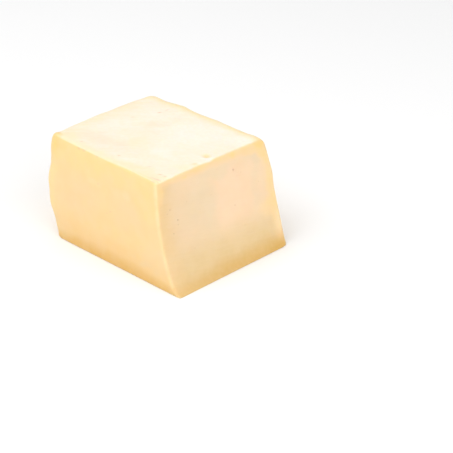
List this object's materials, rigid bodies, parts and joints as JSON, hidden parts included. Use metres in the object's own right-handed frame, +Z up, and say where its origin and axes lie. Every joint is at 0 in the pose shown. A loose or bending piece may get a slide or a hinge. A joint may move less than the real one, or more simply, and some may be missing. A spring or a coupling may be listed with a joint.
{
  "type": "mozzarella cheese block",
  "caption": "Rectangular block of firm mozzarella, cut down from a loaf, with one moulded end, one slanting knife-cut end and a flat base to stand on.",
  "frame": {"origin": "middle of the bounding box's footprint, on the flat base", "axes": "+Z up, +X along the block from its moulded end to its cut end, +Y across it"},
  "size_m": [0.1816, 0.1422, 0.1018],
  "materials": {
    "cheese": "smooth, faintly moist and slightly translucent"
  },
  "bodies": {
    "root": {"cheese_block": "cheese"}
  },
  "joints": []
}
